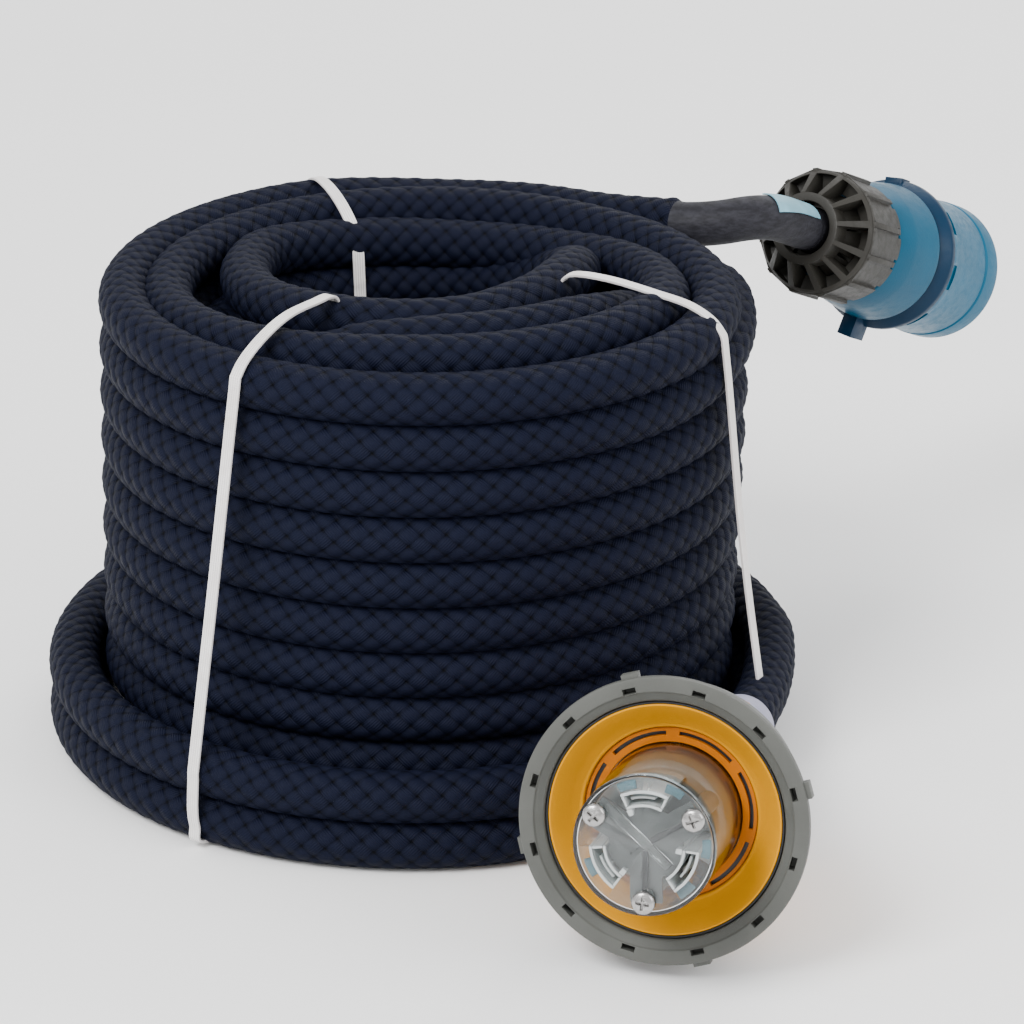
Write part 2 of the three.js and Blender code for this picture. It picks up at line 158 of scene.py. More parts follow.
class Finish:
    """A material with one Principled shader and short ways to feed it."""

    def __init__(self, name, **fixed):
        self.material = bpy.data.materials.new(name)
        self.material.use_nodes = True
        self.tree = self.material.node_tree
        self.shader = self.tree.nodes["Principled BSDF"]
        for key, value in fixed.items():
            self.shader.inputs[key.replace("_", " ")].default_value = value

    def attribute(self, name):
        """The three numbers of a mesh attribute."""
        node = self.tree.nodes.new("ShaderNodeAttribute")
        node.attribute_name = name
        split = self.tree.nodes.new("ShaderNodeSeparateXYZ")
        self.tree.links.new(node.outputs["Vector"], split.inputs[0])
        return [Field(self.tree, out) for out in split.outputs]

    def noise(self, per_metre, detail=3.0, roughness=0.55, stretch=None):
        """Noise over the object's own coordinates, in metres."""
        node = self.tree.nodes.new("ShaderNodeTexNoise")
        node.inputs["Scale"].default_value = per_metre
        node.inputs["Detail"].default_value = detail
        node.inputs["Roughness"].default_value = roughness
        source = self.tree.nodes.new("ShaderNodeTexCoord").outputs["Object"]
        if stretch is not None:
            mapping = self.tree.nodes.new("ShaderNodeMapping")
            mapping.inputs["Scale"].default_value = stretch
            self.tree.links.new(source, mapping.inputs["Vector"])
            source = mapping.outputs[0]
        self.tree.links.new(source, node.inputs["Vector"])
        return Field(self.tree, node.outputs["Fac"])

    def blend(self, amount, low, high):
        """A colour from low to high. Each is three numbers or another blend."""
        node = self.tree.nodes.new("ShaderNodeMix")
        node.data_type = "RGBA"
        self.tree.links.new(amount.socket, node.inputs["Factor"])
        for key, value in (("A", low), ("B", high)):
            socket = [s for s in node.inputs if s.name == key and s.type == "RGBA"][0]
            if isinstance(value, bpy.types.NodeSocket):
                self.tree.links.new(value, socket)
            else:
                socket.default_value = (*value, 1.0)
        return [s for s in node.outputs if s.type == "RGBA"][0]

    def feed(self, key, source):
        socket = source.socket if isinstance(source, Field) else source
        self.tree.links.new(socket, self.shader.inputs[key])

    def bump(self, height, distance, strength=1.0):
        """Relief from a height field, distance metres high where the field goes from 0 to 1."""
        node = self.tree.nodes.new("ShaderNodeBump")
        node.inputs["Strength"].default_value = strength
        node.inputs["Distance"].default_value = distance
        self.tree.links.new(height.socket, node.inputs["Height"])
        self.tree.links.new(node.outputs[0], self.shader.inputs["Normal"])


# ---- materials ----

def moulded(name, colour, roughness=0.45, marks=0.12, **fixed):
    """Moulded plastic: fine grain, faint flow marks, and handling marks in its gloss."""
    finish = Finish(name, **fixed)
    cloud = finish.noise(45.0, 4.0)
    scuff = finish.noise(380.0, 5.0, 0.7)
    dark = tuple(c * (1.0 - marks) for c in colour)
    light = tuple(min(1.0, c * (1.0 + marks)) for c in colour)
    finish.feed("Base Color", finish.blend(cloud.between(0.3, 0.7), dark, light))
    finish.feed("Roughness", scuff.between(0.35, 0.75) * 0.18 + (roughness - 0.06))
    finish.bump(finish.noise(1500.0, 2.0) + cloud * 0.6, 0.00004)
    return finish.material


def braided():
    """Tight polyester braid: two sets of yarns, over and under each other, with fine filaments. Its colour
    carries painted shade in the hollows between yarns and painted highlight on the crowns.
    """
    finish = Finish("braid", Specular_IOR_Level=0.06)
    a, b, _ = finish.attribute("weave")

    def yarn(across, along, sign):
        row = across.math("ROUND")
        off = across - row
        top = (row + along) * math.pi
        lift = top.cos() * sign
        body = (off * off * -YARN_NARROW + 1.0).math("MAXIMUM", 0.0).math("SQRT")
        filament = (off * 44.0 + (along * 1.7).sin() * 0.6).sin()
        return body * 0.9 + lift * 0.75, filament

    first, first_filament = yarn(a, b, 1.0)
    second, second_filament = yarn(b, a, -1.0)
    height = first.math("MAXIMUM", second)
    over = (first - second).between(-0.05, 0.05)
    filament = first_filament * over + second_filament * (over * -1.0 + 1.0)
    # painted shade and highlight: the colour follows the braid's height, darkest in the hollows between
    # yarns and lightest on the crowns, with random tone mixed in
    tone_and_crown_light = finish.noise(900.0, 3.0) * 0.35 + height.between(0.1, 1.5) * 0.65 + filament * 0.05
    hollow_shade, flank, crown_highlight = (0.0002, 0.0003, 0.0008), (0.0026, 0.0036, 0.0100), (0.0056, 0.0073, 0.0185)
    shaded = finish.blend(height.between(0.30, 1.0), hollow_shade, flank)
    finish.feed("Base Color", finish.blend(tone_and_crown_light.between(0.45, 1.05), shaded, crown_highlight))
    finish.feed("Roughness", filament * 0.06 + 0.62)
    finish.bump(height + filament * 0.10 + finish.noise(2600.0, 2.0) * 0.12, 0.0007, 0.9)
    return finish.material


def cable_rubber():
    """Bare charcoal rubber, dusty from handling."""
    finish = Finish("cable_rubber", Specular_IOR_Level=0.15)
    dust = finish.noise(260.0, 5.0, 0.65, (1.0, 1.0, 3.0))
    colour = finish.blend(dust.between(0.3, 0.75), (0.010, 0.010, 0.013), (0.026, 0.026, 0.033))
    finish.feed("Base Color", colour)
    finish.feed("Roughness", finish.noise(600.0) * 0.25 + 0.45)
    finish.bump(finish.noise(900.0, 4.0) + dust * 0.8, 0.00012)
    return finish.material


def soft_rubber(name, low, high, rough=0.6):
    """Matt rubber or soft PVC with a faint bloom."""
    finish = Finish(name, Specular_IOR_Level=0.4)
    bloom = finish.noise(120.0, 5.0, 0.6)
    finish.feed("Base Color", finish.blend(bloom.between(0.3, 0.7), low, high))
    finish.feed("Roughness", finish.noise(500.0) * 0.2 + (rough - 0.1))
    finish.bump(finish.noise(1400.0, 3.0), 0.00005)
    return finish.material


def tie_elastic():
    """Flat woven elastic: five ribs along it, and a pick across it every 0.7 mm. The troughs between the
    ribs are painted darker, as shade.
    """
    finish = Finish("tie_elastic", Roughness=0.75, Sheen_Weight=0.2)
    along, across, _ = finish.attribute("weave")
    ribs = (across * (2.0 * math.pi * 5.0)).cos()
    picks = (along * (2.0 * math.pi / 0.7)).cos()
    soil = finish.noise(150.0, 5.0, 0.65)
    clean = finish.blend(soil.between(0.35, 0.75), (0.86, 0.84, 0.82), (0.72, 0.68, 0.66))
    # painted shade: the troughs between the ribs get a darker grey
    finish.feed("Base Color", finish.blend(ribs.between(-1.0, -0.4), (0.58, 0.55, 0.55), clean))
    finish.bump(ribs * 0.7 + ribs * picks * 0.4, 0.00012)
    return finish.material


def clear_plastic(name, tint, rough=0.04, weight=1.0):
    """Clear polycarbonate, with faint scuffs in its gloss and flow lines."""
    finish = Finish(name, IOR=1.52, Transmission_Weight=weight)
    haze = finish.noise(160.0, 5.0, 0.6)
    clearer = tuple(min(1.0, c * 1.05) for c in tint)
    finish.feed("Base Color", finish.blend(haze.between(0.3, 0.7), tint, clearer))
    finish.feed("Roughness", haze.between(0.5, 0.9) * 0.10 + rough)
    finish.bump(finish.noise(60.0, 2.0), 0.00006)
    return finish.material


def metal(name, colour, rough=0.25):
    """Plated or turned metal with fine drawn lines."""
    finish = Finish(name, Metallic=1.0)
    lines = finish.noise(900.0, 3.0, 0.6, (1.0, 6.0, 1.0))
    dull = tuple(c * 0.82 for c in colour)
    finish.feed("Base Color", finish.blend(lines.between(0.3, 0.7), dull, colour))
    finish.feed("Roughness", lines * 0.2 + (rough - 0.08))
    finish.bump(lines, 0.00002)
    return finish.material


def earth_insulation():
    """Green insulation streaked with yellow."""
    finish = Finish("core_earth", Specular_IOR_Level=0.4)
    bands = finish.noise(180.0, 1.0, 0.5, (1.0, 0.1, 1.0))
    stripes = finish.blend(bands.between(0.46, 0.52), (0.03, 0.22, 0.04), (0.75, 0.62, 0.03))
    finish.feed("Base Color", stripes)
    finish.feed("Roughness", finish.noise(700.0) * 0.2 + 0.35)
    return finish.material


# Moulded pieces: colour, roughness, share of marks, specular level.
MOULDED = {
    # painted highlight: this pale blue 'marker' look stands for a highlight on the top of the bare cable
    # near the nut
    "marker": ((0.20, 0.42, 0.52), 0.4, 0.3, 0.5),
    "ring_plastic": ((0.075, 0.077, 0.070), 0.5, 0.08, 0.3),
    "clamp_plastic": ((0.08, 0.08, 0.075), 0.5, 0.12, 0.5),
    "housing_plastic": ((0.56, 0.235, 0.0), 0.42, 0.05, 0.1),
    # painted shade: the collar is a darker orange copy of the housing's plastic, for the shade round the
    # insert
    "collar_painted_shade": ((0.40, 0.11, 0.0), 0.4, 0.08, 0.1),
    "grey_carrier": ((0.085, 0.095, 0.095), 0.4, 0.15, 0.5),
    # this dark plastic also serves as painted shade for the well under the collar's slots
    "dark_carrier_and_well_shade": ((0.010, 0.013, 0.016), 0.45, 0.12, 0.5),
    "teal_paint": ((0.035, 0.13, 0.17), 0.3, 0.3, 0.5),
    "plug_plastic": ((0.0, 0.062, 0.118), 0.34, 0.08, 0.16),
    "shroud_plastic": ((0.0, 0.080, 0.150), 0.36, 0.08, 0.16),
    # painted shade: a darker copy of the plug's blue, for the flange's shaded chamfer
    "flange_painted_shade": ((0.0, 0.018, 0.046), 0.38, 0.10, 0.16),
    "nut_plastic": ((0.022, 0.0205, 0.0172), 0.5, 0.16, 0.25),
}


def make_materials():
    made = {
        "braid": braided(),
        "cable_rubber": cable_rubber(),
        "tie_elastic": tie_elastic(),
        "seal_rubber": soft_rubber("seal_rubber", (0.004, 0.004, 0.004), (0.012, 0.012, 0.013)),
        "boot_rubber": soft_rubber("boot_rubber", (0.24, 0.24, 0.32), (0.30, 0.30, 0.39), 0.55),
        "core_line": soft_rubber("core_line", (0.09, 0.03, 0.012), (0.13, 0.045, 0.02), 0.45),
        "core_neutral": soft_rubber("core_neutral", (0.015, 0.07, 0.34), (0.02, 0.09, 0.42), 0.45),
        "core_earth": earth_insulation(),
        "clear_insert": clear_plastic("clear_insert", (0.93, 0.96, 0.96)),
        "clear_frame": clear_plastic("clear_frame", (0.80, 0.84, 0.84), 0.16, 0.55),
        "smoky_carrier": clear_plastic("smoky_carrier", (0.20, 0.22, 0.22), 0.3, 0.25),
        "steel": metal("steel", (0.42, 0.41, 0.40), 0.24),
        "tinned": metal("tinned", (0.50, 0.47, 0.42), 0.3),
        "brass": metal("brass", (0.80, 0.58, 0.26), 0.28),
    }
    for name, (colour, roughness, marks, specular) in MOULDED.items():
        made[name] = moulded(name, colour, roughness, marks, Specular_IOR_Level=specular)
    return made


LOOKS = make_materials()


# ---- shapes: (points in millimetres, faces) ----

def lathe(profile, segments=96):
    """Revolves a closed outline of (radius, z) about Z."""
    turns = np.linspace(0.0, 2.0 * math.pi, segments, endpoint=False)
    points = np.array([
        (radius * math.cos(t), radius * math.sin(t), z) for t in turns for radius, z in profile
    ])
    count = len(profile)
    faces = []
    for i in range(segments):
        here, there = i * count, ((i + 1) % segments) * count
        for j in range(count):
            k = (j + 1) % count
            if profile[j][0] == 0.0 and profile[k][0] == 0.0:
                continue
            faces.append((here + j, there + j, there + k, here + k))
    return points, faces


def rounded(outline, radius, steps=3):
    """The closed outline with each corner that is off the axis turned into an arc."""
    points = [np.array(p, float) for p in outline]
    made = []
    for i, here in enumerate(points):
        back, ahead = points[i - 1] - here, points[(i + 1) % len(points)] - here
        reach = min(radius, 0.45 * np.linalg.norm(back), 0.45 * np.linalg.norm(ahead))
        if here[0] == 0.0 or reach < 1e-6:
            made.append(tuple(here))
            continue
        start = here + back / np.linalg.norm(back) * reach
        end = here + ahead / np.linalg.norm(ahead) * reach
        for step in range(steps + 1):
            t = step / steps
            made.append(tuple((1 - t) ** 2 * start + 2 * t * (1 - t) * here + t * t * end))
    return made


def block(size, centre, turn=0.0):
    """A box, turned about Z after it is put at centre."""
    sx, sy, sz = (s / 2 for s in size)
    corners = np.array([(x, y, z) for x in (-sx, sx) for y in (-sy, sy) for z in (-sz, sz)])
    faces = [(0, 1, 3, 2), (4, 6, 7, 5), (0, 4, 5, 1), (2, 3, 7, 6), (0, 2, 6, 4), (1, 5, 7, 3)]
    cos, sin, _ = polar(1.0, turn)
    spin = np.array([(cos, sin, 0), (-sin, cos, 0), (0, 0, 1)])
    return (corners + np.array(centre)) @ spin, faces


def moved(shape, offset):
    return shape[0] + np.array(offset), shape[1]


def sector(inner_r, outer_r, middle, half, z0, z1, steps=12):
    """A curved bar: part of a ring seen along Z. Angles in degrees."""
    outline = []
    for i in range(steps + 1):
        a = math.radians(middle - half + 2 * half * i / steps)
        outline.append((math.cos(a), math.sin(a)))
    flat = [(outer_r * c, outer_r * s) for c, s in outline]
    flat += [(inner_r * c, inner_r * s) for c, s in reversed(outline)]
    count = len(flat)
    points = np.array([(x, y, z) for z in (z0, z1) for x, y in flat])
    faces = [(i, (i + 1) % count, count + (i + 1) % count, count + i) for i in range(count)]
    for i in range(steps):
        a, b, c, d = i, i + 1, 2 * steps - i, 2 * steps + 1 - i
        faces.append((d, c, b, a))
        faces.append((count + a, count + b, count + c, count + d))
    return points, faces


def unit(vectors):
    """The vectors, each made one long."""
    return vectors / np.linalg.norm(vectors, axis=-1, keepdims=True)


def length_along(points):
    """How far along the line each point is."""
    return np.concatenate([[0.0], np.cumsum(np.linalg.norm(np.diff(points, axis=0), axis=1))])


def merged(*shapes):
    """Several shapes as one."""
    points, faces, start = [], [], 0
    for shape_points, shape_faces in shapes:
        points.append(shape_points)
        faces += [tuple(v + start for v in face) for face in shape_faces]
        start += len(shape_points)
    return np.vstack(points), faces


def polar(radius, degrees, z=0.0):
    a = math.radians(degrees)
    return radius * math.cos(a), radius * math.sin(a), z


# ---- pieces ----

def axis_frame(at, axis):
    """The connector's or plug's own frame: +Z along the axis, +X as near as it can be to world +X."""
    z = Vector(axis).normalized()
    x = (Vector((1, 0, 0)) - z * z.x).normalized()
    y = z.cross(x)
    turn = Matrix((x, y, z)).transposed().to_4x4()
    place = Vector((at[0], at[1] + SEAT_R, at[2])) * MM
    return Matrix.Translation(place) @ turn


ROW = Matrix.Translation((0.0, SEAT_R * MM, 0.0))       # the coil's own frame
CONNECTOR = axis_frame(CONNECTOR_AT, CONNECTOR_AXIS)
PLUG = axis_frame(PLUG_AT, PLUG_AXIS)


def to_mesh(name, shape, where):
    """A clean mesh of the shape, in metres and in its place."""
    points, faces = shape
    mesh = bpy.data.meshes.new(name)
    mesh.from_pydata((np.asarray(points) * MM).tolist(), [], [list(f) for f in faces])
    work = bmesh.new()
    work.from_mesh(mesh)
    bmesh.ops.remove_doubles(work, verts=work.verts, dist=1e-7)
    bmesh.ops.dissolve_degenerate(work, edges=work.edges, dist=1e-8)
    bmesh.ops.recalc_face_normals(work, faces=work.faces)
    work.to_mesh(mesh)
    work.free()
    mesh.transform(where)
    return mesh


def applied(piece):
    """Puts the result of the piece's modifiers into its mesh."""
    graph = bpy.context.evaluated_depsgraph_get()
    mesh = bpy.data.meshes.new_from_object(piece.evaluated_get(graph))
    piece.modifiers.clear()
    piece.data = mesh


def combined(piece, operation, shape, where):
    """Adds the shape to the piece or cuts it away."""
    helper = new_object("helper", to_mesh("helper", shape, where))
    change = piece.modifiers.new("combine", "BOOLEAN")
    change.operation = operation
    change.solver = "EXACT"
    change.object = helper
    change.use_self = True
    applied(piece)
    bpy.data.objects.remove(helper)


BEVEL_ABOVE = 40               # edges that turn more than this are softened, degrees
SHARP_ABOVE = 32               # and edges that turn more than this stay crisp in the shading


def finish_piece(piece, look, body, replaces, bevel):
    """Softens edges, sets shading, dresses the piece and hangs it on its body."""
    if bevel:
        change = piece.modifiers.new("edges", "BEVEL")
        change.width = bevel * MM
        change.segments = 2
        change.limit_method = "ANGLE"
        change.angle_limit = math.radians(BEVEL_ABOVE)
        change.use_clamp_overlap = True
        applied(piece)
    piece.data.polygons.foreach_set("use_smooth", [True] * len(piece.data.polygons))
    piece.data.set_sharp_from_angle(angle=math.radians(SHARP_ABOVE))
    piece.data.materials.clear()
    piece.data.materials.append(LOOKS[look])
    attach(piece, body)
    if replaces:
        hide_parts(*replaces)


def part(name, shape, where, look, body="cord_set", replaces=(), cut=(), join=(), bevel=0.25):
    """Makes one piece from a shape, the shapes joined on to it and the shapes cut from it."""
    piece = new_object(name, to_mesh(name, shape, where))
    for extra in join:
        combined(piece, "UNION", extra, where)
    if cut:
        combined(piece, "DIFFERENCE", merged(*cut), where)
    finish_piece(piece, look, body, replaces, bevel)


# ---- the cord's route ----

CABLE_TO_PLUG = [
    (92.0, 57.0, 140.0), (99.0, 57.6, 141.0), (105.0, 60.2, 140.6), (110.4, 65.2, 138.3),
    (114.9, 71.8, 134.6), (117.4, 75.6, 132.5), (119.1, 78.3, 130.9),
]
TAIL_TO_CONNECTOR = [
    (106.4, 6.7, 22.8), (106.6, -6.0, 22.6), (105.9, -20.0, 22.5), (104.0, -36.0, 22.6),
    (101.3, -50.0, 23.2), (98.2, -62.0, 24.3), (94.9, -73.9, 25.7),
]
COIL_TO_CABLE = [(56.0, 73.4, 136.0), (70.0, 65.6, 137.3), (82.0, 58.4, 138.9)]

# The top of the coil spirals inwards from the plug's end: (angle in degrees, radius, height).
TOP_SPIRAL = [
    (62, 91.5, 135.4), (85, 91.5, 134.6), (120, 91.5, 137.1), (320, 91.5, 137.1), (345, 89.5, 137.5),
    (365, 85.5, 138.0), (385, 81.0, 138.0), (410, 77.2, 137.3), (430, 76.5, 137.1),
    (540, 78.5, 137.1), (585, 77.2, 140.0), (630, 76.5, 143.3), (675, 76.5, 142.5),
    (700, 75.0, 141.0), (720, 71.0, 139.0), (745, 66.0, 136.0), (770, 62.3, 133.0),
    (800, 61.5, 131.3), (830, 63.0, 132.5), (859, 64.5, 135.5), (878, 59.4, 137.0),
    (900, 53.5, 138.5), (920, 50.5, 140.0), (948, 48.5, 142.5), (978, 47.4, 143.6),
    (1005, 46.0, 144.0), (1029, 41.8, 144.0), (1060, 40.5, 143.5), (1086, 44.0, 141.5),
    (1110, 52.0, 135.0), (1135, 59.0, 125.5), (1165, 61.5, 119.0), (1260, 64.5, 121.0),
    (1305, 62.5, 128.0), (1338, 61.8, 142.0), (1360, 61.5, 144.2), (1390, 61.5, 143.6),
    (1420, 61.5, 137.0), (1450, 61.5, 124.0), (1480, 61.5, 113.0), (1505, 61.5, 108.3),
]
STEP_FROM, STEP_TO = 5, 60     # where a hidden turn moves one level, degrees
FACE_STEP_FROM, FACE_STEP_TO = 65, 115   # and an outermost turn
FOLD_R = THIRD_R / 2

LEVELS = 9                     # levels of turns above the lowest
FOOT_LEAN, TOP_LEAN = -2.3, 0.7    # the stack leans a little: its middle's x at foot and top
FOOT_SCALE = 0.975             # and is a little narrower at its foot
BASE_MIDDLE, BASE_HALF = (-3.0, -5.0), (105.5, 111.0)   # the two loose turns are slightly oval
OUTER_FROM = -3170             # where the outermost layer begins, degrees
LEAD_ENDS, TAIL_STARTS = 7, 6  # rows of the winding and of the tail that the neighbour already covers


def smooth_table(knots, values):
    """A cubic through the values that doesn't overshoot between them."""
    x, y = np.array(knots, float), np.array(values, float)
    h, d = np.diff(x), np.diff(y) / np.diff(x)
    slope = np.zeros(len(x))
    for i in range(1, len(x) - 1):
        if d[i - 1] * d[i] > 0:
            w1, w2 = 2 * h[i] + h[i - 1], h[i] + 2 * h[i - 1]
            slope[i] = (w1 + w2) / (w1 / d[i - 1] + w2 / d[i])

    def at(points):
        k = np.clip(np.searchsorted(x, points, side="right") - 1, 0, len(h) - 1)
        t = (points - x[k]) / h[k]
        return (
            y[k] * (1 + 2 * t) * (1 - t) ** 2 + slope[k] * h[k] * t * (1 - t) ** 2
            + y[k + 1] * t * t * (3 - 2 * t) + slope[k + 1] * h[k] * t * t * (t - 1)
        )
    return at


def wound(rows, step=1.0):
    """Points of a winding, from rows of (angle, radius, height, base share, spread)."""
    rows = sorted([(*row, 0.0, 0.0)[:5] for row in rows])
    angles = [row[0] for row in rows]
    radius, height, base, spread = (smooth_table(angles, [row[k] for row in rows]) for k in (1, 2, 3, 4))
    theta = np.arange(angles[0], angles[-1] + step / 2, step)
    r, z, share, wide = radius(theta), height(theta), base(theta), spread(theta)
    up = np.clip((z - LOWEST_Z) / (LEVELS * TURN_PITCH), 0, 1)
    cos, sin = np.cos(np.radians(theta)), np.sin(np.radians(theta))
    lean = FOOT_LEAN + (TOP_LEAN - FOOT_LEAN) * up
    scale = FOOT_SCALE + (1 - FOOT_SCALE) * up
    base_x = BASE_MIDDLE[0] + (BASE_HALF[0] + wide) * cos
    base_y = BASE_MIDDLE[1] + BASE_HALF[1] * sin
    x = (1 - share) * (lean + r * scale * cos) + share * base_x
    y = (1 - share) * r * scale * sin + share * base_y
    return np.column_stack([x, y, z])


def inward_half():
    """From the plug: the top spiral, then the third layer, down to its second level."""
    rows = list(TOP_SPIRAL)
    for level in range(7, 1, -1):
        start = 1800 + 360 * (7 - level)
        rows.append((start + STEP_FROM, THIRD_R, LOWEST_Z + level * TURN_PITCH))
        rows.append((start + STEP_TO, THIRD_R, LOWEST_Z + (level - 1) * TURN_PITCH))
    rows.append((1800 + 360 * 6, THIRD_R, LOWEST_Z + TURN_PITCH))
    return wound(rows)


def fold():
    """An S through the hole, where the cord turns back on itself."""
    t = np.radians(np.arange(4.0, 180.0, 4.0))
    first = np.column_stack([FOOT_LEAN + FOLD_R + FOLD_R * np.cos(t), FOLD_R * np.sin(t)])
    second = np.column_stack([FOOT_LEAN - FOLD_R + FOLD_R * np.cos(t), -FOLD_R * np.sin(t)])
    flat = np.vstack([first, [[FOOT_LEAN, 0.0]], second])
    drop = np.linspace(0.0, 1.0, len(flat))
    height = LOWEST_Z + TURN_PITCH * (1 - drop * drop * (3 - 2 * drop))
    return np.column_stack([flat, height])


def outward_half():
    """From the fold, clockwise: up the second layer, down the outside, and the two loose turns."""
    low = LOWEST_Z
    rows = [(180, THIRD_R, low), (STEP_TO, THIRD_R, low), (STEP_FROM, SECOND_R, low)]
    for level in range(8):
        back = -360 * (level + 1)
        rows.append((back + STEP_TO, SECOND_R, low + level * TURN_PITCH))
        rows.append((back + STEP_FROM, SECOND_R, low + (level + 1) * TURN_PITCH))
    high = low + 8 * TURN_PITCH
    rows += [(-3180, SECOND_R, high), (-3205, 85.5, high + 3), (-3230, 93.0, high + 8)]
    rows += [(-3250, 93.0, high + 5), (-3280, OUTER_R, high)]
    for level in range(8, 0, -1):
        back = -3600 - 360 * (8 - level)
        rows.append((back + FACE_STEP_TO, OUTER_R, low + level * TURN_PITCH))
        rows.append((back + FACE_STEP_FROM, OUTER_R, low + (level - 1) * TURN_PITCH))
    rows += [(-6155, OUTER_R, low), (-6195, OUTER_R, low, 1.0), (-6510, OUTER_R, low, 1.0)]
    rows += [(-6555, OUTER_R, low + 14.6, 1.0), (-6770, OUTER_R, low + 14.6, 1.0)]
    rows += [(-6825, OUTER_R, low + 15.1, 1.0, 3.6)]
    return wound(rows)[::-1]


def through(points, step=1.5):
    """A smooth curve through a few points."""
    p = np.array(points, float)
    p = np.vstack([2 * p[0] - p[1], p, 2 * p[-1] - p[-2]])
    made = []
    for i in range(1, len(p) - 2):
        count = max(2, int(np.linalg.norm(p[i + 1] - p[i]) / step))
        t = np.linspace(0, 1, count, endpoint=False)[:, None]
        made.append(0.5 * (
            2 * p[i] + (p[i + 1] - p[i - 1]) * t
            + (2 * p[i - 1] - 5 * p[i] + 4 * p[i + 1] - p[i + 2]) * t ** 2
            + (3 * p[i] - p[i - 1] - 3 * p[i + 1] + p[i + 2]) * t ** 3
        ))
    return np.vstack([*made, p[-2][None]])


def cord_route():
    """The whole centreline, from the gland nut to the connector's boot, and where it is made fine."""
    inward, turn_back, outward = inward_half(), fold(), outward_half()
    lead = through([*CABLE_TO_PLUG[::-1], *COIL_TO_CABLE[::-1], *inward[0:8:3]])[:-1]
    tail = through([*outward[-9::4][:3], *TAIL_TO_CONNECTOR])[TAIL_STARTS:]
    inward = inward[LEAD_ENDS:]
    route = np.vstack([lead, inward, turn_back, outward[:-1], tail])
    spiral_ends = len(lead) + TOP_SPIRAL[-1][0] - TOP_SPIRAL[0][0]
    outer_starts = len(lead) + len(inward) + len(turn_back) + 180 - OUTER_FROM
    fine = np.zeros(len(route), bool)
    fine[:spiral_ends] = True
    fine[outer_starts:] = True
    return route, fine


def even_out(route, fine, fine_step=1.5, coarse_step=6.0):
    """Rings' places along the route: close together where they show."""
    gap = np.linalg.norm(np.diff(route, axis=0), axis=1)
    keep = np.concatenate([[True], gap > 1e-6])
    route, fine = route[keep], fine[keep]
    along = length_along(route)
    steps = np.where(fine, fine_step, coarse_step)
    rings = np.concatenate([[0.0], np.cumsum(np.diff(along) / steps[:-1])])
    wanted = np.linspace(0.0, rings[-1], int(rings[-1]) + 1)
    at = np.interp(wanted, rings, along)
    smooth = np.column_stack([np.interp(at, along, route[:, k]) for k in range(3)])
    return smooth, at


BRAID_ROUND = 7                # yarn crossings round the cord
BRAID_ALONG = 6.8              # and along it, millimetres
BRAID_FROM = 52.0              # bare cable up to here, measured from the nut
BRAID_SINK = 0.35              # how far the yarns' hollows lie below the cord's own radius
YARN_ROUND, YARN_LIFT = 0.45, 0.36     # a yarn's own height and how far it goes over and under
CORD_SIDES = 40
GROUND_GAP = 0.05              # nothing goes lower than this


def weave_height(a, b):
    """Height of the braid's surface: the higher of two yarns that go over and under each other."""

    def yarn(across, along, sign):
        row = np.round(across)
        body = np.sqrt(np.clip(1 - YARN_NARROW * (across - row) ** 2, 0, None))
        return YARN_ROUND * body + sign * YARN_LIFT * np.cos(math.pi * (row + along))

    return np.maximum(yarn(a, b, 1), yarn(b, a, -1))


def cord_radius(along, spin):
    """Radius at each ring and side: bare cable, then the braid with a small swell at its cut end."""
    a = along[:, None] / BRAID_ALONG + spin[None] * BRAID_ROUND
    b = along[:, None] / BRAID_ALONG - spin[None] * BRAID_ROUND
    share = np.clip((along - BRAID_FROM) / 1.6, 0, 1)[:, None]
    swell = 0.35 * np.exp(-(((along - BRAID_FROM - 3.0) / 3.0) ** 2))[:, None]
    return CABLE_R + share * (CORD_R - CABLE_R - BRAID_SINK + weave_height(a, b)) + swell * share


def cord_surface(centres, along):
    """Points of the cord's skin, ring by ring."""
    ahead = unit(np.gradient(centres, axis=0))
    side = unit(np.cross((0.0, 0.0, 1.0), ahead))
    up = np.cross(ahead, side)
    spin = np.arange(CORD_SIDES) / CORD_SIDES
    radius = cord_radius(along, spin)
    angle = 2 * math.pi * spin[None]
    points = (
        centres[:, None] + side[:, None] * (radius * np.cos(angle))[..., None]
        + up[:, None] * (radius * np.sin(angle))[..., None]
    )
    points[..., 2] = np.maximum(points[..., 2], GROUND_GAP)
    return points


def weave_corners(along):
    """The braid's two yarn counts at each face corner, so that the seam has no jump."""
    run = along / BRAID_ALONG
    s0 = np.broadcast_to(np.arange(CORD_SIDES) / CORD_SIDES * BRAID_ROUND, (len(run) - 1, CORD_SIDES))
    s1 = s0 + BRAID_ROUND / CORD_SIDES
    u0 = np.broadcast_to(run[:-1, None], s0.shape)
    u1 = np.broadcast_to(run[1:, None], s0.shape)
    corners = [np.stack([u + s, u - s], -1) for u, s in ((u0, s0), (u0, s1), (u1, s1), (u1, s0))]
    counts = np.stack(corners, 2).reshape(-1, 2)
    values = np.zeros((len(counts) + 2 * CORD_SIDES, 3), np.float32)
    values[:len(counts), :2] = counts
    return values


def ring_faces(rings, sides, closed=False):
    """Quads between neighbouring rings of points, and from the last ring to the first if closed."""
    index = np.arange(rings * sides).reshape(rings, sides)
    here, there = (index, np.roll(index, -1, 0)) if closed else (index[:-1], index[1:])
    quads = np.stack([here, np.roll(here, -1, 1), np.roll(there, -1, 1), there], -1)
    return quads.reshape(-1, 4).tolist()


def tube_faces(rings, sides):
    """Quads along a tube, and a face over each end."""
    first = list(range(sides))
    last = [v + (rings - 1) * sides for v in first]
    return ring_faces(rings, sides) + [first[::-1], last]


def set_weave(mesh, domain, values):
    """The numbers that the woven looks read: yarn counts, or places along and across."""
    weave = mesh.attributes.new("weave", "FLOAT_VECTOR", domain)
    weave.data.foreach_set("vector", values.ravel())


